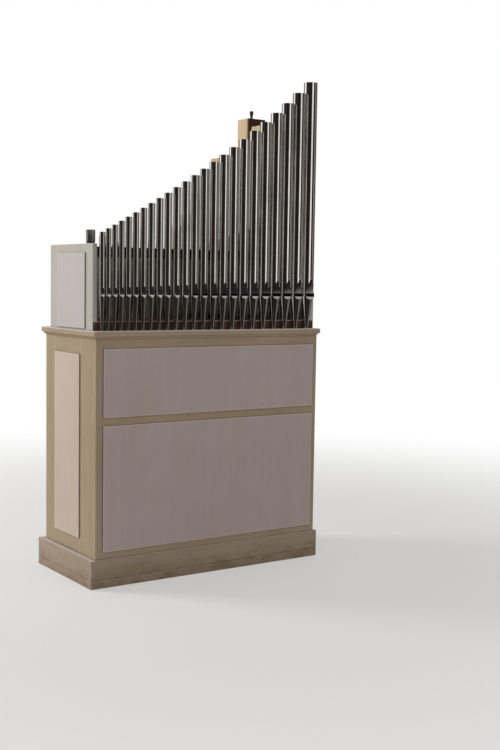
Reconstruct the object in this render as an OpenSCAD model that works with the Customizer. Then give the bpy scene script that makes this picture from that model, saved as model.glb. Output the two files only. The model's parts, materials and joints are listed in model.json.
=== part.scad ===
// Small church choir organ: a painted base case with frame and panels, a
// wind chest between low walls, and a front row of polished tin pipes that
// rises from left to right. Units are millimetres, +Z is up, the front faces
// -Y, and the origin is the middle of the footprint on the floor.

/* [Base case] */
// Height of the cornice top above the floor
case_h = 1330; // [1000:1:1600]
// Length of the cornice, left to right
cornice_len = 1440; // [1400:1:1700]
// Depth of the cornice, front to back
cornice_depth = 644; // [620:1:760]
// Thickness of the cornice
cornice_h = 40; // [30:1:60]
// Radius of the rounded nosing along the top edge of the cornice
nosing_r = 6; // [3:1:10]
// Radius of the hollow under the edge of the cornice
cove_r = 13; // [8:1:18]
// How far the case is set in under the cornice in front, at the back and left
case_inset = 19; // [19:1:40]
// How far the case is set in under the right end of the cornice
right_inset = 10; // [4:1:40]
// Width of a left corner post, seen from the front
post_w = 42; // [30:1:60]
// Width of a right corner post, seen from the front
right_post_w = 30; // [28:1:60]
// Depth of a corner post, seen from the side
post_d = 52; // [35:1:70]
// Thickness of the rails and stiles of the case
frame_t = 25; // [20:1:35]
// How far each panel stands proud of its frame
panel_proud = 7; // [3:1:12]
// Thickness of a panel
panel_t = 18; // [13:1:24]
// Clearance round a panel in its frame
fit = 0.3; // [0.2:0.1:0.6]

/* [Front and back frames] */
// Height of the bottom rail
front_bottom_rail = 38; // [25:1:80]
// Height of the middle rail
front_mid_rail = 42; // [25:1:80]
// Height of the top rail
front_top_rail = 51; // [25:1:80]
// Height of the lower panel
lower_panel_h = 656; // [300:1:800]

/* [Side frames] */
// Width of the stile between the front post and the side panel
side_front_stile = 129; // [60:1:160]
// Width of the stile between the side panel and the back post
side_back_stile = 73; // [50:1:130]
// Height of the bottom rail of a side
side_bottom_rail = 77; // [40:1:140]
// Height of the top rail of a side
side_top_rail = 87; // [40:1:140]
// Height of the air slot under the bottom rail of a side
air_slot = 5; // [2:1:10]

/* [Plinth] */
// Height of the plinth
plinth_h = 149; // [100:1:220]
// How far the plinth stands out past the cornice at each end
plinth_over = 8; // [2:1:30]
// How far the plinth front lies behind the cornice front
plinth_set = 10; // [2:1:18]
// How far the plinth stands out past the cornice at the back
plinth_back_over = 22; // [2:1:40]
// Thickness of the plinth boards
plinth_t = 40; // [36:1:50]
// Height of the groove in the plinth above the floor
groove_z = 44; // [20:1:90]
// Width and depth of the groove
groove_w = 4; // [2:1:8]

/* [Upper case] */
// Height of the upper walls above the cornice
wall_h = 443; // [300:1:600]
// Thickness of the upper walls
wall_t = 26; // [20:1:34]
// How far the left upper wall is set in from the end of the cornice
wall_inset = 10; // [4:1:30]
// How far the right upper wall is set in from the end of the cornice
right_wall_inset = 22; // [4:1:30]
// Distance of the wall fronts behind the cornice front
wall_front = 42; // [41:1:70]
// Depth of the upper walls, front to back
wall_depth = 504; // [480:1:570]
// Width of the front stile of an upper wall
wall_front_stile = 78; // [50:1:110]
// Width of the back stile of an upper wall
wall_back_stile = 96; // [50:1:120]
// Height of the top rail of an upper wall
wall_top_rail = 45; // [25:1:80]
// Height of the bottom rail of an upper wall
wall_bottom_rail = 9; // [6:1:60]
// Height of the wind chest and of the board along its front
chest_h = 48; // [35:1:70]
// Thickness of the board along the front of the wind chest
toe_board_t = 14; // [10:1:20]
// Thickness of wall that covers each end of that board
toe_cover = 4; // [2:1:8]
// Height of the pipe rail
rail_h = 52; // [30:1:70]
// Thickness of the pipe rail
rail_t = 22; // [15:1:30]
// Height of the underside of the pipe rail above the cornice
rail_z = 376; // [300:1:420]

/* [Front pipes] */
// Speaking length of the largest front pipe
pipe_len = 1195; // [900:1:1250]
// Semitones after which the diameter is halved
halving = 16; // [14:0.1:18]
// Wall thickness of the front pipes
pipe_wall = 1.4; // [1:0.1:2]
// Height of a pipe foot, from the cornice up to the mouth
foot_h = 184; // [140:1:240]
// Centre of the smallest pipe, from the left end of the cornice
first_pipe_x = 53; // [50:1:70]
// Centre of the largest pipe, from the right end of the cornice
last_pipe_x = 87.5; // [80:0.5:120]
// Gap between the two largest pipes
pipe_gap = 3.4; // [2:0.1:8]
// Pitch of the two largest pipes as a share of the pitch of the smallest
pitch_ratio = 2.304; // [1.8:0.001:2.4]
// Gap between the largest pipe foot and the toe board
pipe_back_gap = 5; // [2:0.5:10]
// Number of front pipes
pipe_count = 24; // [24]

/* [Inner pipes] */
// Distance of the small metal pipes behind the cornice front
inner_y = 128; // [120:1:150]
// Diameter of the largest small metal pipe
inner_d = 44; // [30:1:50]
// Height of the feet of the inner pipes
inner_foot_h = 90; // [80:1:140]
// Distance of the capped metal pipes behind the cornice front
capped_y = 204; // [195:1:215]
// Centre of the first capped metal pipe, from the left end of the cornice
capped_first_x = 79; // [70:1:100]
// Distance between the capped metal pipes
capped_pitch = 75; // [56:1:80]
// Height of the longest capped metal pipe above the wind chest
capped_h = 470; // [360:1:520]
// How much shorter each next capped metal pipe is
capped_step = 30; // [8:1:35]
// Height of the caps
cap_h = 62; // [40:1:80]
// Diameter of the capped metal pipes
capped_d = 45; // [36:1:50]
// Number of capped metal pipes
capped_count = 8; // [4:1:10]
// Clearance between wooden pipes
wood_gap = 7; // [4:1:12]
// Clearance between the back row of wooden pipes and the right wall
back_row_clear = 84; // [20:1:100]
// Clearance between the front row of wooden pipes and the right wall
front_row_clear = 80; // [20:1:100]
// Clearance between the deepest wooden pipe and the back wall
back_clear = 8; // [4:1:30]
// Height of the feet of the wooden pipes
wood_foot = 64; // [40:1:90]
// Wall thickness of the wooden pipes
wood_t = 10; // [6:1:12]

/* [Hidden] */
$fn = 64;
eps = 0.01;

// The mouth of a pipe, as shares of its diameter
mouth_w_share = 0.75;
cut_up_share = 0.16;
upper_lip_share = 1.25;
lower_lip_share = 0.3;
tip_base = 4.5;
tip_share = 0.13;
languid_t = 3;
windway = 1;
mouth_lift = 1;
lip_edge = 2;

// Front pipes, whose scale follows from the length of the cornice
pitch_sum = cornice_len - first_pipe_x - last_pipe_x;
first_pitch = 2 * pitch_sum / (pipe_count - 1) / (1 + pitch_ratio);
pitch_step = first_pitch * (pitch_ratio - 1) / (pipe_count - 2);
last_pitch = first_pitch * pitch_ratio;
pipe_d = 2 * (last_pitch - pipe_gap) / (1 + pow(2, -1 / halving));
function tip_radius(d) = tip_base + tip_share * d / 2;
foot_at_board = tip_radius(pipe_d) + (pipe_d / 2 - tip_radius(pipe_d)) * chest_h / foot_h;
pipe_y = wall_front - pipe_back_gap - foot_at_board;

// Footprint
plinth_len = cornice_len + 2 * plinth_over;
plinth_depth = cornice_depth - plinth_set + plinth_back_over;
overhang = pipe_d / 2 - pipe_y;
depth_all = overhang + cornice_depth + plinth_back_over;
front_y = overhang - depth_all / 2;
left_x = -cornice_len / 2;

// Case between plinth and cornice
case_left = left_x + case_inset;
case_right = -left_x - right_inset;
case_depth = cornice_depth - 2 * case_inset;
case_front = front_y + case_inset;
case_back = case_front + case_depth;
case_top = case_h - cornice_h;
lower_panel_z = plinth_h + front_bottom_rail;
mid_rail_z = lower_panel_z + lower_panel_h;
upper_panel_z = mid_rail_z + front_mid_rail;
upper_panel_h = case_top - front_top_rail - upper_panel_z;
panel_left = case_left + post_w;
rail_len = case_right - right_post_w - panel_left;
panel_x = panel_left + rail_len / 2;
side_len = case_depth - 2 * post_d;
side_panel_w = side_len - side_front_stile - side_back_stile;
side_panel_y = case_front + post_d + side_front_stile;
side_panel_z = plinth_h + air_slot + side_bottom_rail;
side_panel_h = case_top - side_top_rail - side_panel_z;

// Upper case
wall_x = left_x + wall_inset;
wall_y = front_y + wall_front;
wall_back = wall_y + wall_depth;
wall_end = -left_x - right_wall_inset;
inner_x0 = wall_x + wall_t;
inner_len = wall_end - wall_t - inner_x0;
chest_y = wall_y + toe_board_t;
chest_top = case_h + chest_h;
wall_panel_w = wall_depth - wall_front_stile - wall_back_stile;
wall_panel_h = wall_h - wall_top_rail - wall_bottom_rail;
back_y = wall_back - wall_t;
back_stile = wall_back_stile;
back_panel_w = (inner_len - 3 * back_stile) / 2;
back_bottom_rail = wall_top_rail;
back_panel_h = wall_h - wall_top_rail - back_bottom_rail;
rail_y = front_y + pipe_y + pipe_d / 2 + 2;

// Front pipes, counted from the smallest at the left
function diameter(i) = pipe_d * pow(2, -(pipe_count - 1 - i) / halving);
function octave_share(i) = pow(2, -(pipe_count - 1 - i) / 12);
function speaking(i) = pipe_len * octave_share(i);
function pipe_x(i) = left_x + first_pipe_x + i * first_pitch + pitch_step * i * (i - 1) / 2;

// Inner pipes
inner_count = pipe_count - 1;
function inner_x(i) = (pipe_x(i) + pipe_x(i + 1)) / 2;
inner_wall = 1.2;
function inner_share(i) = pow(2, -(inner_count - 1 - i) / halving);
function inner_len_of(i) = speaking(i) * 0.52;
cap_over = 1.5;

// Wooden pipes, counted from the largest at the right: width, depth, top
// above the cornice, and height of the handle
back_row = [[117, 112, 1212, 52], [98, 100, 980, 14], [85, 97, 970, 10], [76, 90, 800, 30],
            [68, 82, 720, 30], [61, 76, 640, 30], [55, 70, 570, 30]];
front_row = [[106, 98, 1162, 38], [94, 92, 880, 30], [82, 86, 790, 30], [73, 80, 710, 30],
             [65, 74, 640, 30], [59, 69, 570, 30], [53, 64, 500, 30]];
back_row_y = wall_front + wall_depth - wall_t - back_clear - back_row[0][1];
front_row_y = back_row_y - wood_gap - front_row[0][1];
back_row_right = cornice_len - right_wall_inset - wall_t - back_row_clear;
front_row_right = cornice_len - right_wall_inset - wall_t - front_row_clear;
function used(row, n) = n < 0 ? 0 : row[n][0] + wood_gap + used(row, n - 1);
function wood_x(row, right, n) = left_x + right - used(row, n) + wood_gap;
wood_mouth_h = 22;
wood_block = 70;
handle_r = 11;

// A box from its low corner
module board(x, y, z, w, d, h) {
    translate([x, y, z])
        cube([w, d, h]);
}

// A board of the plinth that lies along X, with the groove on its outer face
module plinth_board(len) {
    difference() {
        board(-len / 2, 0, 0, len, plinth_t, plinth_h);
        board(-len / 2 - 1, -1, groove_z, len + 2, groove_w + 1, groove_w);
    }
}

module plinth_front_and_back() {
    color("tan") {
        translate([0, front_y + plinth_set, 0])
            plinth_board(plinth_len);
        translate([0, front_y + plinth_set + plinth_depth, 0])
            rotate([0, 0, 180])
                plinth_board(plinth_len);
    }
}

module plinth_ends() {
    end_len = plinth_depth - 2 * plinth_t;
    color("burlywood")
        for (side = [-1, 1])
            translate([side * plinth_len / 2, front_y + plinth_set + plinth_depth / 2, 0])
                rotate([0, 0, 90 * side])
                    plinth_board(end_len);
}

module corner_posts() {
    color("wheat")
        for (y = [case_front, case_back - post_d]) {
            board(case_left, y, plinth_h, post_w, post_d, case_top - plinth_h);
            board(case_right - right_post_w, y, plinth_h, right_post_w, post_d,
                  case_top - plinth_h);
        }
}

// The three rails of the front or back, their outer face at y = 0
module long_rails() {
    for (rail = [[plinth_h, front_bottom_rail], [mid_rail_z, front_mid_rail],
                 [case_top - front_top_rail, front_top_rail]])
        board(-rail_len / 2, 0, rail[0], rail_len, frame_t, rail[1]);
}

module front_rails() {
    color("bisque")
        translate([panel_x, case_front, 0])
            long_rails();
}

module back_rails() {
    color("bisque")
        translate([panel_x, case_back, 0])
            rotate([0, 0, 180])
                long_rails();
}

module side_stiles() {
    color("bisque")
        for (x = [case_left, case_right - frame_t],
             stile = [[case_front + post_d, side_front_stile],
                      [side_panel_y + side_panel_w, side_back_stile]])
            board(x, stile[0], plinth_h, frame_t, stile[1], case_top - plinth_h);
}

module side_rails() {
    color("antiquewhite")
        for (x = [case_left, case_right - frame_t],
             rail = [[plinth_h + air_slot, side_bottom_rail],
                     [case_top - side_top_rail, side_top_rail]])
            board(x, side_panel_y, rail[0], frame_t, side_panel_w, rail[1]);
}

// A panel that lies along X, its outer face at y = 0 and proud of the frame
module panel(w, z, h) {
    board(-w / 2 + fit, -panel_proud, z + fit, w - 2 * fit, panel_t, h - 2 * fit);
}

module front_lower_panel() {
    color("lightgray")
        translate([panel_x, case_front, 0])
            panel(rail_len, lower_panel_z, lower_panel_h);
}

module front_upper_panel() {
    color("lightgray")
        translate([panel_x, case_front, 0])
            panel(rail_len, upper_panel_z, upper_panel_h);
}

module back_lower_panel() {
    color("lightgray")
        translate([panel_x, case_back, 0])
            rotate([0, 0, 180])
                panel(rail_len, lower_panel_z, lower_panel_h);
}

module back_upper_panel() {
    color("lightgray")
        translate([panel_x, case_back, 0])
            rotate([0, 0, 180])
                panel(rail_len, upper_panel_z, upper_panel_h);
}

// The panel of one side of the base, side = -1 at the left, 1 at the right
module side_panel(side) {
    translate([side < 0 ? case_left : case_right, side_panel_y + side_panel_w / 2, 0])
        rotate([0, 0, 90 * side])
            panel(side_panel_w, side_panel_z, side_panel_h);
}

module left_panel() {
    color("lightgray")
        side_panel(-1);
}

module right_panel() {
    color("lightgray")
        side_panel(1);
}

// Section of the cornice across a given width, its top at y = 0
module cornice_section(width) {
    half = width / 2;
    for (side = [0, 1])
        mirror([side, 0])
            difference() {
                union() {
                    translate([-eps, -cornice_h])
                        square([half - nosing_r + eps, cornice_h]);
                    translate([0, -cornice_h])
                        square([half, cornice_h - nosing_r]);
                    translate([half - nosing_r, -nosing_r])
                        circle(nosing_r);
                }
                translate([half, -cornice_h])
                    circle(cove_r);
            }
}

module cornice() {
    color("gainsboro")
        translate([0, front_y + cornice_depth / 2, case_h])
            intersection() {
                rotate([90, 0, 0])
                    translate([0, 0, -cornice_depth / 2])
                        linear_extrude(cornice_depth)
                            cornice_section(cornice_len);
                rotate([90, 0, 90])
                    translate([0, 0, -cornice_len / 2])
                        linear_extrude(cornice_len)
                            cornice_section(cornice_depth);
            }
}

module toe_board() {
    color("maroon")
        board(wall_x + toe_cover, wall_y, case_h, wall_end - wall_x - 2 * toe_cover,
              toe_board_t, chest_h);
}

module wind_chest() {
    color("sienna")
        board(inner_x0, chest_y, case_h, inner_len, back_y - chest_y, chest_h);
}

module upper_side_stiles() {
    color("bisque")
        for (side = [0, 1]) {
            x = side == 0 ? wall_x : wall_end - wall_t;
            notch_x = side == 0 ? x + toe_cover : x - 1;
            difference() {
                board(x, wall_y, case_h, wall_t, wall_front_stile, wall_h);
                board(notch_x, wall_y - 1, case_h - 1, wall_t - toe_cover + 1,
                      toe_board_t + 1, chest_h + 1);
            }
            board(x, wall_back - wall_back_stile, case_h, wall_t, wall_back_stile, wall_h);
        }
}

module upper_side_rails() {
    y = wall_y + wall_front_stile;
    color("antiquewhite")
        for (x = [wall_x, wall_end - wall_t]) {
            board(x, y, case_h, wall_t, wall_panel_w, wall_bottom_rail);
            board(x, y, case_h + wall_h - wall_top_rail, wall_t, wall_panel_w, wall_top_rail);
        }
}

module upper_side_panels() {
    y = wall_y + wall_front_stile + wall_panel_w / 2;
    color("lightgray")
        for (side = [-1, 1])
            translate([side < 0 ? wall_x : wall_end, y, 0])
                rotate([0, 0, 90 * side])
                    panel(wall_panel_w, case_h + wall_bottom_rail, wall_panel_h);
}

module upper_back_stiles() {
    color("bisque")
        for (n = [0:2])
            board(inner_x0 + n * (back_stile + back_panel_w), back_y, case_h,
                  back_stile, wall_t, wall_h);
}

module upper_back_rails() {
    color("antiquewhite")
        for (n = [0, 1], rail = [[0, back_bottom_rail], [wall_h - wall_top_rail, wall_top_rail]])
            board(inner_x0 + back_stile + n * (back_stile + back_panel_w), back_y,
                  case_h + rail[0], back_panel_w, wall_t, rail[1]);
}

module upper_back_panels() {
    color("lightgray")
        for (side = [-1, 1])
            translate([inner_x0 + inner_len / 2 + side * (back_stile + back_panel_w) / 2,
                       wall_back, 0])
                rotate([0, 0, 180])
                    panel(back_panel_w, case_h + back_bottom_rail, back_panel_h);
}

module pipe_rail() {
    color("dimgray")
        board(inner_x0, rail_y, case_h + rail_z, inner_len, rail_t, rail_h);
}

// A foot and a tube turned about Z, pressed flat in front for both lips.
// front is the distance of the flats from the axis at the mouth.
module lipped_form(d, r, tip, bottom, foot, top, front) {
    press = d / 2 * (1 - sqrt(1 - mouth_w_share * mouth_w_share));
    flat_low = foot - lip_edge;
    flat_high = foot + mouth_lift + cut_up_share * d + lip_edge;
    upper = 2 * upper_lip_share * d;
    lower = 2 * lower_lip_share * d;
    difference() {
        rotate_extrude()
            polygon([[0, bottom], [tip, bottom], [r, foot], [r, top], [0, top]]);
        rotate([90, 0, 90])
            translate([0, 0, -d])
                linear_extrude(2 * d)
                    polygon([[-front, flat_low], [-front, flat_high],
                             [-front - 2 * press, flat_high + upper], [-2 * d, flat_high + upper],
                             [-2 * d, flat_low - lower], [-front - 2 * press, flat_low - lower]]);
    }
}

// The languid, the plate inside a pipe that steers the wind to its mouth
module languid(r, foot, edge) {
    intersection() {
        translate([0, 0, foot - languid_t])
            cylinder(r = r, h = languid_t);
        translate([-r, edge, foot - 2 * languid_t])
            cube([2 * r, 2 * r, 3 * languid_t]);
    }
}

// An open metal flue pipe that stands on z = 0, its mouth towards -Y
module flue_pipe(d, len, foot, wall) {
    r = d / 2;
    mouth_w = mouth_w_share * d;
    front = sqrt(r * r - mouth_w * mouth_w / 4);
    tip = tip_radius(d);
    difference() {
        lipped_form(d, r, tip, 0, foot, foot + len, front);
        difference() {
            lipped_form(d, r - wall, tip - wall, -1, foot, foot + len + 1, front - wall);
            languid(r - wall / 2, foot - 1, -front + wall + windway);
        }
        translate([-mouth_w * 0.47, -r, foot + mouth_lift])
            cube([mouth_w * 0.94, r - front + wall + 1, cut_up_share * d]);
    }
}

// Front pipe i in its place on the cornice
module front_pipe(i) {
    color("silver")
        translate([pipe_x(i), front_y + pipe_y, case_h])
            flue_pipe(diameter(i), speaking(i), foot_h, pipe_wall);
}

module treble_front_pipes() {
    for (i = [0:pipe_count - 13])
        front_pipe(i);
}

module inner_metal_pipes() {
    color("lightslategray")
        for (i = [0:inner_count - 1])
            translate([inner_x(i), front_y + inner_y, chest_top])
                flue_pipe(inner_d * inner_share(i), inner_len_of(i), inner_foot_h, inner_wall);
}

// Centre of capped pipe n, and the height of its body
function capped_x(n) = left_x + capped_first_x + n * capped_pitch;
function capped_len(n) = capped_h - n * capped_step;

// A closed tube on a foot, with a mouth cut in the front
module capped_pipe(d, len) {
    r = d / 2;
    difference() {
        rotate_extrude()
            polygon([[0, 0], [tip_radius(d), 0], [r, inner_foot_h], [r, len], [0, len]]);
        translate([-r * mouth_w_share, -r - 1, inner_foot_h])
            cube([d * mouth_w_share, r * 0.45 + 1, d * cut_up_share * 1.5]);
    }
}

module capped_metal_pipes() {
    color("darkgray")
        for (n = [0:capped_count - 1])
            translate([capped_x(n), front_y + capped_y, chest_top])
                capped_pipe(capped_d, capped_len(n) - cap_h);
}

module metal_pipe_caps() {
    color("gray")
        for (n = [0:capped_count - 1])
            translate([capped_x(n), front_y + capped_y, chest_top + capped_len(n) - cap_h])
                cylinder(d = capped_d + 2 * cap_over, h = cap_h);
}

// A square wooden pipe above its foot, with its mouth in the front
module wooden_pipe(w, d, h) {
    inner_w = w - 2 * wood_t;
    difference() {
        cube([w, d, h]);
        translate([wood_t, -1, wood_block])
            cube([inner_w, wood_t * 2, wood_mouth_h]);
    }
}

// One row of wooden pipes, from the largest at the right
module wooden_row(row, y, right) {
    for (n = [0:len(row) - 1])
        translate([wood_x(row, right, n), front_y + y, chest_top + wood_foot])
            wooden_pipe(row[n][0], row[n][1], row[n][2] - chest_h - wood_foot);
}

module wooden_pipes_back_row() {
    color("navajowhite")
        wooden_row(back_row, back_row_y, back_row_right);
}

module wooden_pipes_front_row() {
    color("moccasin")
        wooden_row(front_row, front_row_y, front_row_right);
}

// A foot under, or a turned handle on, every wooden pipe of one row
module row_turnings(row, y, right, handles) {
    for (n = [0:len(row) - 1])
        translate([wood_x(row, right, n) + row[n][0] / 2, front_y + y + row[n][1] / 2,
                   handles ? case_h + row[n][2] : chest_top])
            if (handles)
                turned_handle(row[n][3]);
            else
                cylinder(r1 = 10, r2 = 18, h = wood_foot);
}

// A handle with a narrow neck and a wider head
module turned_handle(h) {
    rotate_extrude()
        polygon([[0, 0], [handle_r * 0.75, 0], [handle_r * 0.65, h * 0.3], [handle_r, h * 0.7],
                 [handle_r, h * 0.9], [handle_r * 0.8, h], [0, h]]);
}

module wooden_pipe_feet() {
    color("peru") {
        row_turnings(back_row, back_row_y, back_row_right, false);
        row_turnings(front_row, front_row_y, front_row_right, false);
    }
}

module stopper_handles() {
    color("saddlebrown") {
        row_turnings(back_row, back_row_y, back_row_right, true);
        row_turnings(front_row, front_row_y, front_row_right, true);
    }
}

plinth_front_and_back();
plinth_ends();
corner_posts();
front_rails();
back_rails();
side_stiles();
side_rails();
front_lower_panel();
front_upper_panel();
back_lower_panel();
back_upper_panel();
left_panel();
right_panel();
cornice();
toe_board();
wind_chest();
upper_side_stiles();
upper_side_rails();
upper_side_panels();
upper_back_stiles();
upper_back_rails();
upper_back_panels();
pipe_rail();
front_pipe(23);  // front_pipe_c
front_pipe(22);  // front_pipe_c_sharp
front_pipe(21);  // front_pipe_d
front_pipe(20);  // front_pipe_d_sharp
front_pipe(19);  // front_pipe_e
front_pipe(18);  // front_pipe_f
front_pipe(17);  // front_pipe_f_sharp
front_pipe(16);  // front_pipe_g
front_pipe(15);  // front_pipe_g_sharp
front_pipe(14);  // front_pipe_a
front_pipe(13);  // front_pipe_a_sharp
front_pipe(12);  // front_pipe_b
treble_front_pipes();
inner_metal_pipes();
capped_metal_pipes();
metal_pipe_caps();
wooden_pipes_back_row();
wooden_pipes_front_row();
wooden_pipe_feet();
stopper_handles();
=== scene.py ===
"""Studio scene of a small church choir organ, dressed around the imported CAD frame."""
import json
import math

import bmesh
import bpy
from mathutils import Matrix, Vector

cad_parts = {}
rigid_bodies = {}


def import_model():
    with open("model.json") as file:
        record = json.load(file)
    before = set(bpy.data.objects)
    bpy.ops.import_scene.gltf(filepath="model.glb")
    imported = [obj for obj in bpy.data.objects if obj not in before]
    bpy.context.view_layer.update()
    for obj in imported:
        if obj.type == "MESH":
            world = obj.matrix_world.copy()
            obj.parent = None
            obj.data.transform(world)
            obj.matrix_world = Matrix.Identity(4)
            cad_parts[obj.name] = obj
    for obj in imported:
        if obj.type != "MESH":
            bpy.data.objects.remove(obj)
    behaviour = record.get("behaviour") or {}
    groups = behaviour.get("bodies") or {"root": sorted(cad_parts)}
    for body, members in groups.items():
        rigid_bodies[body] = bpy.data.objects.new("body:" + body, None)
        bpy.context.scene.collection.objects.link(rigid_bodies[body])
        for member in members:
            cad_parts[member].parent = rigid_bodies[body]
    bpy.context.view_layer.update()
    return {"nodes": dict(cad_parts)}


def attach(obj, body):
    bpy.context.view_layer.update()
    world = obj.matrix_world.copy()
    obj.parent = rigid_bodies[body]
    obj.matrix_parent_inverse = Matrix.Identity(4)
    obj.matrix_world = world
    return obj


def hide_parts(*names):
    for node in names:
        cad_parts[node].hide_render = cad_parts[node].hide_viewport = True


for leftover in list(bpy.data.objects):
    bpy.data.objects.remove(leftover)
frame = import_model()

# Camera: place in metres, turns in degrees, lens in millimetres
CAMERA_PLACE = (-3.2665, -5.4274, 1.5938)
CAMERA_TURN = 34.45
CAMERA_DOWN = 4.77
CAMERA_ROLL = 0.89
FOCAL_LENGTH = 53.9
SENSOR_WIDTH = 36

# Paints, as linear colours in even light
FRAME_PAINT = (0.445, 0.335, 0.225)
# The upper walls' paint, cooler and greyer than the base, to paint the daylight on them
UPPER_FRAME_PAINT_DAYLIT = (0.54, 0.505, 0.455)
PANEL_PAINT = (0.63, 0.525, 0.435)
# The panel paint, darker and a little mauve, painting the front's shade and sheen
FRONT_PANEL_PAINT_SHADED = (0.53, 0.44, 0.41)
# Cooler too, painting the same daylight
UPPER_PANEL_PAINT_DAYLIT = (0.585, 0.535, 0.51)
PLINTH_PAINT = (0.42, 0.32, 0.235)

# What age leaves on the paint; its pale dusting also paints the light on upward faces
PALE_DUST_AND_TOP_LIGHT = (0.76, 0.74, 0.7)
RUBBED_WOOD = (0.36, 0.27, 0.17)
KICKED_PAINT = (0.25, 0.17, 0.11)
KICKED_PATCH = (0.25, 0.17, 0.1)
KICKED_STREAK = (0.2, 0.14, 0.09)
KICK_HEIGHT = 0.13

# Metals and woods; of two colours the first is the light one
TIN = (0.85, 0.84, 0.82)
PIPE_METAL = (0.42, 0.39, 0.36)
PIPE_INSIDE = (0.16, 0.16, 0.16)
TOE_BOARD_STAIN = ((0.13, 0.045, 0.03), (0.06, 0.022, 0.015))
# A painted highlight for the toe board's top edge
TOE_BOARD_EDGE_HIGHLIGHT = (0.6, 0.5, 0.42)
# The wind chest's wood made darker, to paint the shade behind the pipes
CHEST_WOOD_SHADED = ((0.2, 0.115, 0.06), (0.12, 0.06, 0.03))
# A dark stain, made near black to paint the shade on the pipe rail
RAIL_STAIN_AND_SHADE = ((0.035, 0.028, 0.022), (0.02, 0.015, 0.012))
PINE = ((0.80, 0.66, 0.44), (0.66, 0.48, 0.27))
HARDWOOD = ((0.13, 0.055, 0.028), (0.06, 0.025, 0.013))
STOPPER_WOOD = ((0.55, 0.36, 0.19), (0.38, 0.23, 0.11))
LEATHER = ((0.5, 0.4, 0.3), (0.4, 0.3, 0.2))

# Stretch of the noise that makes grain and brush marks run along an axis
GRAIN = {"x": (0.06, 1, 1), "y": (1, 0.06, 1), "z": (1, 1, 0.06)}

# Edges of the boards, in metres, and the angle in degrees from which an edge is rounded
BOARD_EDGE = 0.0013
POST_EDGE = 0.0022
ROUNDED_FROM = 38
WELD_DISTANCE = 0.00002

# Metal pipes in metres; foot and wall as in the CAD
FOOT_HEIGHT = 0.184
INNER_FOOT_HEIGHT = 0.090
PIPE_WALL = 0.0014
TIP_LEAST = 0.0045
LIP_EDGE = 0.0006
UPPER_LIP_EDGE = 0.0003
MOUTH_LIFT = 0.0004
MOUTH_RISE = 0.0006

# Metal pipes as shares of the diameter, and of the radius for the tip and the least flat
MOUTH_WIDTH = 0.75
CUT_UP = 0.16
UPPER_LIP = 1.25
LOWER_LIP = 0.3
SLOT_WIDTH = 0.24
SLOT_LOW = 1.5
SLOT_HIGH = 0.55
TIP_SHARE = 0.13
LEAST_FLAT = 0.04

# How the pressed lips narrow away from the mouth, and the rows of vertices along them
UPPER_LIP_POWER = 0.88
LOWER_LIP_BULGE = 1.15
LOWER_LIP_POWER = 0.75
UPPER_LIP_ROWS = 12
LOWER_LIP_ROWS = 8
SAME_HEIGHT = 1e-6

# Points across the pressed flat, of which the inner columns open at the mouth
FLAT_SHARES = (-1, -0.94, -0.5, 0, 0.5, 0.94, 1)
MOUTH_COLUMNS = range(1, len(FLAT_SHARES) - 2)

# Sides of round things
LARGE_PIPE_SIDES = 56
SMALL_PIPE_SIDES = 40
INNER_PIPE_SIDES = 28
CAPPED_PIPE_SIDES = 32
WOODEN_FOOT_SIDES = 24
HANDLE_SIDES = 28
LANGUID_SIDES = 24

# The languid in metres below the foot's end, and the slit in front of it
LANGUID_LOW = 0.004
LANGUID_HIGH = 0.001
WINDWAY = 0.001

# Ears: sizes in metres, then shares of the cut-up, the diameter and the mouth's width
EAR_FROM_DIAMETER = 0.04
EAR_THICKNESS = 0.0012
EAR_REACH = 0.007
EAR_EDGE = 0.0003
EAR_BELOW, EAR_ABOVE = 1.045, 0.855
EAR_REACH_SHARE = 0.1
EAR_PLACE = 0.985

# The rolled tongue: turns, steps, and its least radius and growth as shares of the diameter
SCROLL_TURNS = 1.6
SCROLL_STEPS = 26
SCROLL_RADIUS = 0.018
SCROLL_GROWTH = 0.022
SCROLL_LIFT = 0.04
SCROLL_PLAY = 0.0005

# Capped pipes in metres: the dark plate that paints the mouth's shade, its span above the foot's
# end and how far it stands out, and the cap's rims as pairs of how far in and how far up or down
CAPPED_MOUTH_SHADE = (0.001, 0.012)
CAPPED_MOUTH_SHADE_PROUD = 0.0004
CAP_LOWER_RIM = ((0.001, 0.0), (0.0, 0.001))
CAP_UPPER_RIM = ((0.0, 0.003), (0.001, 0.001), (0.004, 0.0))

# The twelve large front pipes, a node each
NOTES = ("c", "c_sharp", "d", "d_sharp", "e", "f", "f_sharp", "g", "g_sharp", "a", "a_sharp", "b")

# Wooden pipes in metres
FRONT_BOARD = 0.011
SIDE_BOARD = 0.010
STOPPER_DEPTH = 0.004
STOPPER_OVERLAP = 0.002
LEATHER_EDGE = 0.0022
LEATHER_RISE = 0.0012
BLOCK_HEIGHT = 0.070
WOOD_CUT_UP = 0.022
WOOD_MOUTH_SIDE = 0.010
BLOCK_CAP_LOW = 0.006
BLOCK_CAP_MARGIN = 0.004
BLOCK_CAP_FACE = (0.0004, 0.002)
BLOCK_CAP_SIDE_SHARE = 0.04
WOOD_EDGE = 0.0012
RIM_EDGE = 0.0008
CAP_EDGE = 0.0006
STOPPER_EDGE = 0.0004

# Turned profiles: shares of radius and height for the handle; for the foot of a wooden pipe
# radius and height in metres at its tip, then radius in metres and share of the height
HANDLE_PROFILE = (
    (0.75, 0.0), (0.72, 0.06), (0.66, 0.2), (0.65, 0.3), (0.7, 0.42), (0.84, 0.56),
    (0.96, 0.68), (1.0, 0.78), (0.99, 0.88), (0.9, 0.95), (0.7, 0.99), (0.4, 1.0))
FOOT_TIP = ((0.008, 0.0), (0.010, 0.002))
FOOT_PROFILE = ((0.0135, 0.55), (0.016, 0.75), (0.018, 0.86), (0.018, 1.0))

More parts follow.
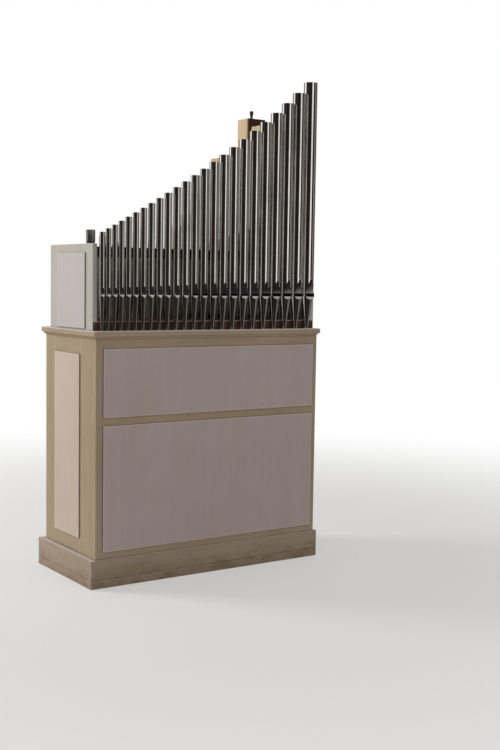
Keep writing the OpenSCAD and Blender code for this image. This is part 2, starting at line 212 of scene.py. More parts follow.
# The floor in metres: where it fades to the white backdrop, and where mirrors look through it
FLOOR_COLOUR = (0.74, 0.73, 0.71)
FLOOR_RADIUS = 60
FLOOR_SIDES = 96
FLOOR_DROP = 0.0005
FADE_START, FADE_END, FADE_LEAST = 1.5, 6.0, 0.4
MIRROR_START, MIRROR_END = 1.2, 2.2

# The surroundings as metal mirrors them, by direction: 0 and 1 are the left (-X), 0.25 the
# front, 0.5 the right and 0.75 the back. This is the ring at eye level.
LEVEL_RING = (
    # A dark wall at the left, with a faint glow
    (0.0, (0.025, 0.019, 0.014)), (0.035, (0.037, 0.031, 0.024)),
    (0.06, (0.057, 0.048, 0.037)), (0.085, (0.022, 0.015, 0.011)),
    # The dark room in front
    (0.11, (0.012, 0.009, 0.007)), (0.15, (0.019, 0.012, 0.009)),
    (0.2, (0.031, 0.022, 0.017)), (0.235, (0.028, 0.022, 0.019)),
    (0.3, (0.028, 0.022, 0.02)), (0.345, (0.019, 0.015, 0.016)),
    (0.388, (0.019, 0.015, 0.012)),
    # A grey strip at the front right
    (0.396, (0.433, 0.376, 0.319)), (0.416, (0.388, 0.319, 0.262)),
    (0.424, (0.057, 0.045, 0.037)),
    # The dim right side with one brighter strip
    (0.47, (0.123, 0.098, 0.082)), (0.54, (0.09, 0.074, 0.066)),
    (0.565, (0.684, 0.627, 0.57)), (0.59, (0.684, 0.627, 0.57)),
    # The back, which grows lighter towards the window
    (0.605, (0.098, 0.09, 0.082)), (0.655, (0.082, 0.074, 0.066)),
    (0.7, (0.164, 0.156, 0.148)), (0.81, (0.246, 0.238, 0.23)),
    # The window at the back left
    (0.86, (1.083, 1.083, 1.06)), (0.915, (1.197, 1.197, 1.174)),
    (0.93, (0.066, 0.057, 0.045)), (0.95, (0.031, 0.028, 0.022)),
    (1.0, (0.025, 0.019, 0.014)))
# The ring just below it, which the feet mirror
LOW_RING = (
    (0.0, (0.011, 0.008, 0.007)), (0.1, (0.008, 0.007, 0.006)),
    (0.15, (0.028, 0.023, 0.021)), (0.2, (0.03, 0.026, 0.025)),
    (0.26, (0.011, 0.009, 0.008)), (0.3, (0.017, 0.015, 0.017)),
    # A warm strip at the front right
    (0.356, (0.02, 0.019, 0.02)), (0.373, (0.42, 0.38, 0.33)),
    (0.388, (0.36, 0.32, 0.275)), (0.402, (0.028, 0.025, 0.022)),
    # The dim right side and the dark back
    (0.425, (0.15, 0.135, 0.124)), (0.47, (0.15, 0.135, 0.124)),
    (0.5, (0.028, 0.022, 0.019)), (0.7, (0.022, 0.017, 0.014)),
    (0.86, (0.09, 0.075, 0.068)), (1.0, (0.011, 0.008, 0.007)))
MIRRORED_FLOOR = (0.5, 0.49, 0.48)
MIRRORED_CEILING = (0.4, 0.395, 0.39)
# Where each layer starts over the level ring and where it is full, by the direction's height
LOW_RING_BAND = (-0.08, -0.18)
FLOOR_BAND = (-0.42, -0.52)
CEILING_BAND = (0.3, 0.55)
# What everything but metal sees, and what the camera sees
SOFT_LIGHT = (0.44, 0.435, 0.43)
WHITE = (1, 1, 1)


# Camera
def add_camera():
    """Stands where the photographer stood, with a slight roll."""
    turn, down = math.radians(CAMERA_TURN), math.radians(CAMERA_DOWN)
    forward = Vector((math.sin(turn) * math.cos(down), math.cos(turn) * math.cos(down),
                      -math.sin(down)))
    right = Vector((math.cos(turn), -math.sin(turn), 0))
    up = right.cross(forward)
    pose = Matrix((right, up, -forward)).transposed().to_4x4()
    roll = Matrix.Rotation(math.radians(CAMERA_ROLL), 4, "Z")
    camera = bpy.data.objects.new("camera", bpy.data.cameras.new("camera"))
    camera.data.lens = FOCAL_LENGTH
    camera.data.sensor_width = SENSOR_WIDTH
    camera.matrix_world = Matrix.Translation(CAMERA_PLACE) @ pose @ roll
    bpy.context.scene.collection.objects.link(camera)
    bpy.context.scene.camera = camera


# Node tools
class Nodes:
    """Short calls for the nodes of a material or of the world."""

    def __init__(self, owner):
        owner.use_nodes = True
        self.nodes = owner.node_tree.nodes
        self.links = owner.node_tree.links

    def put(self, socket, value):
        """Links one socket to another, or gives it a plain value."""
        if isinstance(value, bpy.types.NodeSocket):
            self.links.new(value, socket)
        elif socket.type == "RGBA":
            socket.default_value = (*value, 1)
        else:
            socket.default_value = value

    def add(self, kind, inputs, **settings):
        """Adds a node with its settings and inputs, and returns its outputs."""
        node = self.nodes.new("ShaderNode" + kind)
        for name, value in settings.items():
            setattr(node, name, value)
        for name, value in inputs.items():
            self.put(node.inputs[name], value)
        return node.outputs

    def math(self, operation, a, b):
        return self.add("Math", {0: a, 1: b}, operation=operation)[0]

    def times(self, a, b):
        return self.math("MULTIPLY", a, b)

    def span(self, value, low, high, out_low=0.0, out_high=1.0, shape="SMOOTHSTEP"):
        """Maps low..high of a value onto out_low..out_high, clamped."""
        ends = {"Value": value, "From Min": low, "From Max": high,
                "To Min": out_low, "To Max": out_high}
        return self.add("MapRange", ends, interpolation_type=shape)["Result"]

    def mix(self, share, a, b, blend="MIX"):
        """Colour a, with a share of colour b over it."""
        return self.add("Mix", {0: share, 6: a, 7: b}, data_type="RGBA", blend_type=blend)[2]

    def mix_shaders(self, share, a, b):
        return self.add("MixShader", {0: share, 1: a, 2: b})[0]


class Surface(Nodes):
    """A material with one shader and patterns over the object's own place."""

    def __init__(self, name):
        self.material = bpy.data.materials.new(name)
        super().__init__(self.material)
        self.shader = self.nodes["Principled BSDF"]
        self.place = self.add("TexCoord", {})["Object"]

    def set(self, **values):
        """Sets inputs of the shader; an underscore stands for a space."""
        for name, value in values.items():
            self.put(self.shader.inputs[name.replace("_", " ")], value)

    def noise(self, scale, stretch=(1, 1, 1), detail=4.0, rough=0.55, warp=0.0, shift=0.0):
        """Noise over the object's place; a small stretch value makes a long grain."""
        place = self.add("Mapping", {"Vector": self.place, "Scale": stretch,
                                     "Location": (shift, shift * 0.7, shift * 1.3)})[0]
        return self.add("TexNoise", {"Vector": place, "Scale": scale, "Detail": detail,
                                     "Roughness": rough, "Distortion": warp})["Fac"]

    def height(self):
        return self.add("SeparateXYZ", {0: self.place})["Z"]

    def facing_up(self):
        normal = self.add("NewGeometry", {})["Normal"]
        return self.add("SeparateXYZ", {0: normal})["Z"]

    def edges(self, radius):
        """1 on edges and corners, 0 on flats, found by rounding the normal."""
        rounded = self.add("Bevel", {"Radius": radius}, samples=4)[0]
        normal = self.add("NewGeometry", {})["Normal"]
        likeness = self.add("VectorMath", {0: rounded, 1: normal}, operation="DOT_PRODUCT")
        return self.span(likeness["Value"], 0.99, 0.86)

    def hollows(self, distance):
        """0 in the open, 1 deep in a hollow or joint."""
        openness = self.add("AmbientOcclusion", {"Distance": distance}, samples=6)["AO"]
        return self.math("SUBTRACT", 1.0, openness)

    def bump(self, height, distance, strength, after=None):
        """A normal pushed about by a pattern, on top of another one if given."""
        inputs = {"Distance": distance, "Strength": strength, "Height": height}
        if after is not None:
            inputs["Normal"] = after
        return self.add("Bump", inputs)[0]


# Materials
def toned(colour, factor, most=1.0):
    """A colour made darker or lighter by a factor."""
    return tuple(min(most, part * factor) for part in colour)


def brushed_paint(surface, colour, boards, streaks):
    """Paint in two near tones with streaks along the board, yellow patches and specks."""
    cloud = surface.noise(2.3, detail=3)
    paint = surface.mix(surface.span(cloud, 0.3, 0.7), toned(colour, 1 - 0.16 * streaks),
                        toned(colour, 1.06))
    paint = surface.mix(0.55, paint, colour)
    streak = surface.span(boards, 0.35, 0.65, 1 - 0.07 * streaks, 1 + 0.04 * streaks)
    paint = surface.mix(1.0, paint, streak, "MULTIPLY")
    patches = surface.noise(5.5, (1, 1, 0.5), detail=5, rough=0.65, shift=6.0)
    yellow = (colour[0] * 0.98, colour[1] * 0.9, colour[2] * 0.76)
    paint = surface.mix(surface.span(patches, 0.5, 0.75, 0.0, 0.35), paint, yellow)
    specks = surface.span(surface.noise(160, detail=2, shift=8.0), 0.71, 0.76, 0.0, 0.35)
    return surface.mix(specks, paint, toned(colour, 0.45))


def highlit_and_rubbed_edges(surface, paint, colour, highlight_and_wear_width, shine):
    """Edges with a painted highlight all along, and rubbed to the wood in places."""
    rim = surface.edges(highlight_and_wear_width)
    # Painted highlight: the paint made paler all along the edges, where light would catch them
    paint = surface.mix(surface.times(rim, 0.9), paint, toned(colour, shine, 0.9))
    places = surface.span(surface.noise(24, detail=6, rough=0.7), 0.55, 0.68)
    return surface.mix(surface.times(surface.times(rim, places), 0.6), paint, RUBBED_WOOD)


def shade_joints_and_dust(surface, paint, colour, corner_shade, top_light_and_dust, joint_depth):
    """Painted shade in corners, dark joints, and a pale dusting with painted top light on what
    faces up.
    """
    # Painted shade: the paint darkened in hollows by ambient occlusion
    hollow_shade = surface.times(surface.hollows(0.03), corner_shade)
    paint = surface.mix(hollow_shade, paint, toned(colour, 0.42))
    # A pale dusting on upward faces, which also paints the light on top edges and ledges
    top_dust_and_light = surface.span(surface.facing_up(), 0.1, 0.6, 0.0, top_light_and_dust)
    paint = surface.mix(top_dust_and_light, paint, PALE_DUST_AND_TOP_LIGHT)
    joint = surface.span(surface.hollows(0.006), 0.15, 0.55, 0.0, joint_depth)
    return surface.mix(joint, paint, toned(colour, 0.16))


def kicked_foot(surface, paint):
    """Scuffs that grow towards the floor."""
    low = surface.span(surface.height(), KICK_HEIGHT, 0.0)
    patches = surface.span(surface.noise(9, (1, 1, 2.2), detail=8, rough=0.68), 0.46, 0.6)
    streaks = surface.span(surface.noise(21, (0.35, 0.35, 2.6), detail=8, rough=0.8), 0.56, 0.66)
    paint = surface.mix(surface.times(low, 0.35), paint, KICKED_PAINT)
    paint = surface.mix(surface.times(surface.times(low, patches), 0.8), paint, KICKED_PATCH)
    return surface.mix(surface.times(streaks, 0.55), paint, KICKED_STREAK)


def painted_wood(name, colour, grain, kicked=False, streaks=0.7, corner_shade=0.28, highlight_and_wear_width=0.004,
                 shine=1.5, top_light_and_dust=0.62):
    """Old satin oil paint on pine: brush marks, edges with a painted highlight and rubbed in
    places, painted shade in corners, a pale dusting with painted top light.
    """
    surface = Surface(name)
    brush = surface.noise(230, GRAIN[grain], detail=3, rough=0.7)
    boards = surface.noise(38, GRAIN[grain], detail=4, shift=3.1)
    paint = brushed_paint(surface, colour, boards, streaks)
    paint = highlit_and_rubbed_edges(surface, paint, colour, highlight_and_wear_width, shine)
    paint = shade_joints_and_dust(surface, paint, colour, corner_shade, top_light_and_dust, 0.5 if kicked else 0.85)
    if kicked:
        paint = kicked_foot(surface, paint)
    marks = surface.bump(brush, 0.0004, 0.35 * streaks)
    surface.set(Base_Color=paint, Roughness=surface.span(brush, 0.3, 0.7, 0.38, 0.54),
                Normal=surface.bump(boards, 0.0006, 0.3 * streaks, marks),
                Coat_Weight=0.08, Coat_Roughness=0.3)
    return surface.material


def bare_wood(name, colours, grain, rough=0.5, ring_scale=26, gloss=0.0, lit_edge_colour=None):
    """Planed wood with long growth rings, pores, painted shade in its hollows and, if given, a
    painted highlight on the toe board's top edge.
    """
    surface = Surface(name)
    light, dark = colours
    rings = surface.noise(ring_scale, GRAIN[grain], detail=6, rough=0.62, warp=0.6)
    pores = surface.noise(ring_scale * 12, GRAIN[grain], detail=2, rough=0.6)
    cloud = surface.noise(3.2, detail=2, shift=5.0)
    wood = surface.mix(surface.span(rings, 0.35, 0.66), light, dark)
    wood = surface.mix(surface.span(pores, 0.58, 0.7, 0.0, 0.5), wood, toned(dark, 0.6))
    wood = surface.mix(surface.span(cloud, 0.3, 0.75, 0.0, 0.25), wood, toned(dark, 0.75))
    # Painted shade: the wood darkened in its hollows by ambient occlusion
    hollow_shade = surface.times(surface.hollows(0.02), 0.5)
    wood = surface.mix(hollow_shade, wood, toned(dark, 0.3))
    # Painted highlight along the toe board's rounded top edge
    if lit_edge_colour:
        top = solids_of("toe_board")[0][1].z
        edge = surface.span(surface.height(), top - 0.005, top - 0.002)
        wood = surface.mix(edge, wood, lit_edge_colour)
    surface.set(Base_Color=wood, Normal=surface.bump(pores, 0.0004, 0.3),
                Roughness=surface.span(rings, 0.3, 0.7, rough - 0.07, rough + 0.07),
                Coat_Weight=gloss, Coat_Roughness=0.25)
    return surface.material


def pipe_metal(name, colour, rough, haze, wave):
    """Tin and lead sheet, planed by hand: long faint waves and a soft haze."""
    surface = Surface(name)
    length = surface.noise(14, (1, 1, 0.22), detail=3)
    planing = surface.noise(210, (1, 1, 0.02), detail=2)
    cloud = surface.noise(9, (1, 1, 0.5), detail=5, rough=0.65, shift=2.0)
    specks = surface.noise(260, detail=2, shift=9.0)
    metal = surface.mix(surface.span(cloud, 0.38, 0.72, 0.0, 0.8), colour, toned(colour, 0.74))
    metal = surface.mix(surface.span(specks, 0.66, 0.74, 0.0, 0.12), metal, toned(colour, 0.5))
    # Painted shade: the metal darkened in hollows and where pipes nearly touch
    metal_hollow_shade = surface.span(surface.hollows(0.0025), 0.35, 0.9, 0.0, 0.6)
    metal = surface.mix(metal_hollow_shade, metal, toned(colour, 0.2))
    waves = surface.bump(length, wave, 0.6)
    surface.set(Base_Color=metal, Metallic=1.0,
                Roughness=surface.span(cloud, 0.3, 0.75, rough, rough + haze),
                Normal=surface.bump(planing, 0.00003, 0.4, waves))
    return surface.material


def make_materials():
    # The cornice gets more of the pale dusting, to paint the light on its top edge
    mats = {"cornice": painted_wood("cornice_paint", FRAME_PAINT, "x", top_light_and_dust=0.9)}
    for grain in "xyz":
        mats["frame_" + grain] = painted_wood(
            "frame_paint_" + grain, FRAME_PAINT, grain, highlight_and_wear_width=0.007, shine=1.6)
        mats["upper_" + grain] = painted_wood(
            "upper_frame_paint_daylit_" + grain, UPPER_FRAME_PAINT_DAYLIT, grain, highlight_and_wear_width=0.006, shine=1.6)
        mats["plinth_" + grain] = painted_wood(
            "plinth_paint_" + grain, PLINTH_PAINT, grain, kicked=True)
    mats["panel"] = painted_wood("panel_paint", PANEL_PAINT, "z", streaks=0.3, corner_shade=0.75,
                                 highlight_and_wear_width=0.007, shine=1.4)
    mats["front_panel"] = painted_wood("front_panel_paint_shaded", FRONT_PANEL_PAINT_SHADED, "z",
                                       streaks=0.3, corner_shade=0.1, highlight_and_wear_width=0.008, shine=1.9)
    mats["upper_panel"] = painted_wood("upper_panel_paint_daylit", UPPER_PANEL_PAINT_DAYLIT, "z",
                                       streaks=0.3, corner_shade=0.75, highlight_and_wear_width=0.006, shine=1.5)
    mats["toe_board"] = bare_wood("toe_board_stain", TOE_BOARD_STAIN, "x", rough=0.42, gloss=0.2,
                                  lit_edge_colour=TOE_BOARD_EDGE_HIGHLIGHT)
    mats["chest"] = bare_wood("chest_wood", CHEST_WOOD_SHADED, "x")
    mats["rail"] = bare_wood("rail_stain", RAIL_STAIN_AND_SHADE, "x", rough=0.4, gloss=0.15)
    mats["tin"] = pipe_metal("polished_tin", TIN, rough=0.018, haze=0.022, wave=0.0006)
    mats["lead"] = pipe_metal("pipe_metal", PIPE_METAL, rough=0.3, haze=0.14, wave=0.0012)
    mats["inside"] = pipe_metal("pipe_inside", PIPE_INSIDE, rough=0.5, haze=0.2, wave=0.001)
    mats["pine"] = bare_wood("pine", PINE, "z", ring_scale=20)
    mats["hardwood"] = bare_wood("dark_hardwood", HARDWOOD, "z", rough=0.38, gloss=0.25)
    mats["stopper"] = bare_wood("stopper_wood", STOPPER_WOOD, "x", rough=0.45)
    mats["leather"] = bare_wood("stopper_leather", LEATHER, "z", rough=0.8)
    return mats


# Mesh tools
def new_piece(name, bm, materials, nodes=(), smooth=True):
    """Turns a bmesh into a piece of the organ that may stand for CAD nodes."""
    mesh = bpy.data.meshes.new(name)
    bm.normal_update()
    bm.to_mesh(mesh)
    bm.free()
    piece = bpy.data.objects.new(name, mesh)
    bpy.context.scene.collection.objects.link(piece)
    for material in materials:
        mesh.materials.append(material)
    if smooth:
        for face in mesh.polygons:
            face.use_smooth = True
    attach(piece, "root")
    if nodes:
        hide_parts(*nodes)
    return piece


def keep_crisp(piece, degrees):
    """Keeps every edge crisp that is sharper than the angle."""
    piece.data.set_sharp_from_angle(angle=math.radians(degrees))


def ring(bm, points):
    return [bm.verts.new(point) for point in points]


def skin(bm, a, b):
    """Joins two closed rings of vertices with quads."""
    for n in range(len(a)):
        m = (n + 1) % len(a)
        bm.faces.new((a[n], a[m], b[m], b[n]))


def turned(bm, x, y, profile, segments):
    """A turned form about a vertical axis from (radius, height) pairs, closed at both ends."""
    turns = [2 * math.pi * k / segments for k in range(segments)]
    rings = [ring(bm, [(x + radius * math.cos(t), y + radius * math.sin(t), z) for t in turns])
             for radius, z in profile]
    for low, high in zip(rings, rings[1:]):
        skin(bm, low, high)
    bm.faces.new(list(reversed(rings[0])))
    bm.faces.new(rings[-1])


def box(bm, low, high, bevel=0.0, material=0, segments=2):
    """A box between two corners with rounded edges."""
    size = [h - l for l, h in zip(low, high)]
    middle = [(h + l) / 2 for l, h in zip(low, high)]
    made = bmesh.ops.create_cube(bm, size=1.0)["verts"]
    for vert in made:
        vert.co = Vector([m + c * s for m, c, s in zip(middle, vert.co, size)])
    for face in {face for vert in made for face in vert.link_faces}:
        face.material_index = material
    if bevel:
        edges = list({edge for vert in made for edge in vert.link_edges})
        bmesh.ops.bevel(bm, geom=edges, offset=min(bevel, min(size) * 0.3), segments=segments,
                        profile=0.6, affect="EDGES", clamp_overlap=True)


def solids_of(node):
    """Boxes of a node's separate solids, from left to right, in metres."""
    bm = bmesh.new()
    bm.from_mesh(frame["nodes"][node].data)
    bmesh.ops.remove_doubles(bm, verts=bm.verts, dist=WELD_DISTANCE)
    seen, boxes = set(), []
    for start in bm.verts:
        if start in seen:
            continue
        places, stack = [], [start]
        seen.add(start)
        while stack:
            vert = stack.pop()
            places.append(vert.co)
            for edge in vert.link_edges:
                other = edge.other_vert(vert)
                if other not in seen:
                    seen.add(other)
                    stack.append(other)
        boxes.append(tuple(Vector([end(place[k] for place in places) for k in range(3)])
                           for end in (min, max)))
    bm.free()
    return sorted(boxes, key=lambda ends: (round(ends[0].x, 3), ends[0].y))


# The case
def soften(node, width):
    """Rounds the edges of a CAD node with modifiers, its mesh as packed."""
    piece = frame["nodes"][node]
    weld = piece.modifiers.new("weld", "WELD")
    weld.merge_threshold = WELD_DISTANCE
    bevel = piece.modifiers.new("bevel", "BEVEL")
    bevel.width = width
    bevel.segments = 2
    bevel.limit_method = "ANGLE"
    bevel.angle_limit = math.radians(ROUNDED_FROM)
    bevel.harden_normals = True


def dress_case(mats):
    """Materials and rounded edges for the joiner's work."""
    finish = {
        "plinth_front_and_back": "plinth_x", "plinth_ends": "plinth_y",
        "corner_posts": "frame_z", "front_rails": "frame_x", "back_rails": "frame_x",
        "side_stiles": "frame_z", "side_rails": "frame_y", "cornice": "cornice",
        "front_lower_panel": "front_panel", "front_upper_panel": "front_panel",
        "back_lower_panel": "front_panel", "back_upper_panel": "front_panel",
        "left_panel": "panel", "right_panel": "panel", "toe_board": "toe_board",
        "wind_chest": "chest", "upper_side_stiles": "upper_z", "upper_side_rails": "upper_y",
        "upper_side_panels": "upper_panel", "upper_back_stiles": "upper_z",
        "upper_back_rails": "upper_x", "upper_back_panels": "upper_panel", "pipe_rail": "rail"}
    for node, key in finish.items():
        mesh = frame["nodes"][node].data
        mesh.materials.clear()
        mesh.materials.append(mats[key])
        soften(node, POST_EDGE if node in ("corner_posts", "side_stiles") else BOARD_EDGE)


# Metal pipes
class Pipe:
    """Sizes of one metal pipe, read from the box of its solid in the CAD."""

    def __init__(self, ends, foot):
        low, high = ends
        self.diameter = high.x - low.x
        self.radius = self.diameter / 2
        self.x, self.y, self.bottom = (low.x + high.x) / 2, high.y - self.radius, low.z
        self.foot = foot
        self.top = high.z - low.z
        self.tip = TIP_LEAST + TIP_SHARE * self.radius
        self.mouth_half = MOUTH_WIDTH * self.radius
        self.front = math.sqrt(self.radius ** 2 - self.mouth_half ** 2)
        self.mouth_low = foot + MOUTH_LIFT
        self.mouth_high = self.mouth_low + CUT_UP * self.diameter + MOUTH_RISE
        self.lip_low = foot - LIP_EDGE
        self.lip_high = self.mouth_high + UPPER_LIP_EDGE
        self.lips_end_low = self.lip_low - LOWER_LIP * self.diameter
        self.lips_end_high = self.lip_high + UPPER_LIP * self.diameter
        self.slot_low = self.top - SLOT_LOW * self.diameter
        self.slot_high = self.top - SLOT_HIGH * self.diameter

    def lip_half(self, z):
        """Half the width of the pressed lips at a height, 0 away from the mouth."""
        if z > self.lip_high:
            share = min(1, (z - self.lip_high) / (UPPER_LIP * self.diameter))
            return self.mouth_half * (1 - share) ** UPPER_LIP_POWER
        if z < self.lip_low:
            share = min(1, (self.lip_low - z) / (LOWER_LIP * self.diameter))
            return self.mouth_half * (1 - share ** LOWER_LIP_BULGE) ** LOWER_LIP_POWER
        return self.mouth_half

    def heights(self, slotted):
        """Heights of the rows of vertices, close together along the lips."""
        upper, lower = self.lips_end_high - self.lip_high, self.lip_low - self.lips_end_low
        heights = {0.0, self.foot * 0.4, self.foot, self.mouth_low, self.mouth_high,
                   self.lip_low, self.lip_high, self.top, (self.lips_end_high + self.top) / 2,
                   self.lips_end_high + 0.04 * self.diameter,
                   self.lips_end_low - 0.03 * self.diameter,
                   self.lips_end_low - 0.12 * self.diameter}
        heights.update(self.lip_high + upper * k / UPPER_LIP_ROWS
                       for k in range(1, UPPER_LIP_ROWS + 1))
        heights.update(self.lip_low - lower * math.sin(k * math.pi / (2 * LOWER_LIP_ROWS))
                       for k in range(1, LOWER_LIP_ROWS + 1))
        if slotted:
            heights.update((self.slot_low, self.slot_high))
        return sorted(heights)

    def section(self, z, segments):
        """Points round the pipe at a height: the pressed flat, then the round part."""
        radius = self.radius
        if z < self.foot:
            radius = self.tip + (self.radius - self.tip) * z / self.foot
        side = max(self.lip_half(z), radius * LEAST_FLAT)
        angle = math.asin(min(0.99, side / radius))
        flat = self.y - radius * math.cos(angle)
        points = [(self.x + side * share, flat, self.bottom + z) for share in FLAT_SHARES]
        arc = segments - len(points) + 1
        for k in range(1, arc):
            turn = angle + (2 * math.pi - 2 * angle) * k / arc
            points.append((self.x + radius * math.sin(turn), self.y - radius * math.cos(turn),
                           self.bottom + z))
        return points


def between(low, high, start, end):
    """Whether a stretch of heights lies between two others, but for rounding."""
    return low >= start - SAME_HEIGHT and high <= end + SAME_HEIGHT


def flue_pipe(bm, pipe, segments, slotted):
    """The skin of a pipe: cone-shaped foot, body, pressed lips, mouth and tuning slot."""
    heights = pipe.heights(slotted)
    rows = [ring(bm, pipe.section(z, segments)) for z in heights]
    for low, high, a, b in zip(heights, heights[1:], rows, rows[1:]):
        in_mouth = between(low, high, pipe.mouth_low, pipe.mouth_high)
        in_slot = slotted and between(low, high, pipe.slot_low, pipe.slot_high)
        for k in range(segments):
            m = (k + 1) % segments
            across = abs((a[k].co.x + a[m].co.x) / 2 - pipe.x)
            behind = a[k].co.y > pipe.y and across < SLOT_WIDTH * pipe.radius
            if not (in_mouth and k in MOUTH_COLUMNS or in_slot and behind):
                bm.faces.new((a[k], a[m], b[m], b[k]))
        if pipe.lips_end_low < (low + high) / 2 < pipe.lips_end_high:
            for column in (0, len(FLAT_SHARES) - 1):
                bm.edges.get((a[column], b[column])).smooth = False
    seam = rows[heights.index(pipe.foot)]
    for pair in zip(seam, seam[1:] + seam[:1]):
        edge = bm.edges.get(pair)
        if edge:
            edge.smooth = False


def add_languid(bm, pipe):
    """The plate behind the mouth, with a straight front edge."""
    radius = pipe.radius - PIPE_WALL * 0.6
    start = math.acos((pipe.front - PIPE_WALL - WINDWAY) / radius)
    turns = [start + (2 * math.pi - 2 * start) * k / LANGUID_SIDES
             for k in range(LANGUID_SIDES + 1)]
    low, high = (ring(bm, [(pipe.x + radius * math.sin(turn), pipe.y - radius * math.cos(turn),
                            pipe.bottom + pipe.foot - depth) for turn in turns])
                 for depth in (LANGUID_LOW, LANGUID_HIGH))
    skin(bm, low, high)
    bm.faces.new(list(reversed(low)))
    bm.faces.new(high)


def add_scroll(bm, pipe):
    """The tongue cut from the tuning slot, rolled up at its lower end."""
    half = SLOT_WIDTH * pipe.radius - SCROLL_PLAY
    axis = pipe.bottom + pipe.slot_low + SCROLL_LIFT * pipe.diameter
    rows = []
    for k in range(SCROLL_STEPS + 1):
        share = k / SCROLL_STEPS
        angle = -math.pi / 2 + 2 * math.pi * SCROLL_TURNS * share
        radius = pipe.diameter * (SCROLL_RADIUS + SCROLL_GROWTH * (1 - share))
        y = pipe.y + pipe.radius - PIPE_WALL - 0.1 * radius + radius * math.cos(angle)
        z = axis + radius * math.sin(angle)
        rows.append(ring(bm, [(pipe.x + side * half, y, z) for side in (-1, 1)]))
    for a, b in zip(rows, rows[1:]):
        bm.faces.new((a[0], a[1], b[1], b[0]))


def add_ears(bm, pipe):
    """The two small plates that stand beside the mouth of a large pipe."""
    cut_up = pipe.mouth_high - pipe.mouth_low
    middle = pipe.bottom + (pipe.mouth_low + pipe.mouth_high) / 2
    low, high = middle - EAR_BELOW * cut_up, middle + EAR_ABOVE * cut_up
    face = pipe.y - pipe.front
    reach = min(EAR_REACH, pipe.diameter * EAR_REACH_SHARE)
    for side in (-1, 1):
        x = pipe.x + side * pipe.mouth_half * EAR_PLACE
        box(bm, (x - EAR_THICKNESS / 2, face - reach, low),
            (x + EAR_THICKNESS / 2, face + 0.001, high), bevel=EAR_EDGE, segments=1)


def pipe_piece(name, pipes, mats, material, node, segments, in_front):
    """One piece for a node of flue pipes; those in front also get slots, scrolls and ears."""
    bm = bmesh.new()
    for pipe in pipes:
        flue_pipe(bm, pipe, segments, in_front)
    piece = new_piece(name, bm, [material, mats["inside"]], [node])
    shell = piece.modifiers.new("wall", "SOLIDIFY")
    shell.thickness = PIPE_WALL
    shell.offset = -1
    shell.use_even_offset = True
    shell.material_offset = 1
    shell.material_offset_rim = 0
    split = piece.modifiers.new("split", "EDGE_SPLIT")
    split.split_angle = math.radians(45)
    bm = bmesh.new()
    for pipe in pipes:
        add_languid(bm, pipe)
        if in_front:
            add_scroll(bm, pipe)
        if in_front and pipe.diameter > EAR_FROM_DIAMETER:
            add_ears(bm, pipe)
    new_piece(name + "_languid", bm, [material], smooth=False)


def add_front_pipes(mats):
    """The polished row: a piece for each large pipe and one for the twelve small ones."""
    nodes = {"front_pipe_" + note: LARGE_PIPE_SIDES for note in NOTES}
    nodes["treble_front_pipes"] = SMALL_PIPE_SIDES
    for node, segments in nodes.items():
        pipes = [Pipe(ends, FOOT_HEIGHT) for ends in solids_of(node)]
        pipe_piece("tin_" + node, pipes, mats, mats["tin"], node, segments, True)


def add_inner_pipes(mats):
    """The rank of small open pipes behind the front, and the capped ones."""
    pipes = [Pipe(ends, INNER_FOOT_HEIGHT) for ends in solids_of("inner_metal_pipes")]
    pipe_piece("lead_inner_pipes", pipes, mats, mats["lead"], "inner_metal_pipes",
               INNER_PIPE_SIDES, False)
    bm = bmesh.new()
    for ends in solids_of("capped_metal_pipes"):
        pipe = Pipe(ends, INNER_FOOT_HEIGHT)
        x, y, r = pipe.x, pipe.y, pipe.radius
        shoulder = pipe.bottom + pipe.foot
        turned(bm, x, y, [(pipe.tip, pipe.bottom), (r, shoulder), (r, ends[1].z)],
               CAPPED_PIPE_SIDES)
        # Painted shade: a dark plate just proud of the pipe stands for its mouth
        low, high = (shoulder + height for height in CAPPED_MOUTH_SHADE)
        box(bm, (x - r * 0.7, y - r - CAPPED_MOUTH_SHADE_PROUD, low),
            (x + r * 0.7, y - r * 0.6, high), material=1)
    new_piece("lead_capped_pipes", bm, [mats["lead"], mats["inside"]],
              ["capped_metal_pipes"])
    bm = bmesh.new()
    for low, high in solids_of("metal_pipe_caps"):
        r = (high.x - low.x) / 2
        profile = [(r - inward, low.z + up) for inward, up in CAP_LOWER_RIM]
        profile += [(r - inward, high.z - down) for inward, down in CAP_UPPER_RIM]
        turned(bm, (low.x + high.x) / 2, (low.y + high.y) / 2, profile, CAPPED_PIPE_SIDES)
    caps = new_piece("lead_pipe_caps", bm, [mats["lead"]], ["metal_pipe_caps"])
    keep_crisp(caps, 40)


# Wooden pipes
def add_wooden_body(bm, leather, stoppers, low, high):
    """Three boards round a stopper with its leather edge, a little below the rim."""
    back = low.y + FRONT_BOARD
    inner_low, inner_high = low.x + SIDE_BOARD, high.x - SIDE_BOARD
    deep = high.z - STOPPER_DEPTH
    start = deep - STOPPER_OVERLAP
    box(bm, (low.x, back, low.z), (high.x, high.y, deep), WOOD_EDGE)
    for a, b in (((low.x, back), (inner_low, high.y)), ((inner_high, back), (high.x, high.y)),
                 ((inner_low, high.y - SIDE_BOARD), (inner_high, high.y))):
        box(bm, (*a, start), (*b, high.z), RIM_EDGE)
    for edge, top, bunch in ((0.0, deep + LEATHER_RISE, leather),
                             (LEATHER_EDGE, high.z, stoppers)):
        box(bunch, (inner_low + edge, back + edge, start),
            (inner_high - edge, high.y - SIDE_BOARD - edge, top), STOPPER_EDGE)


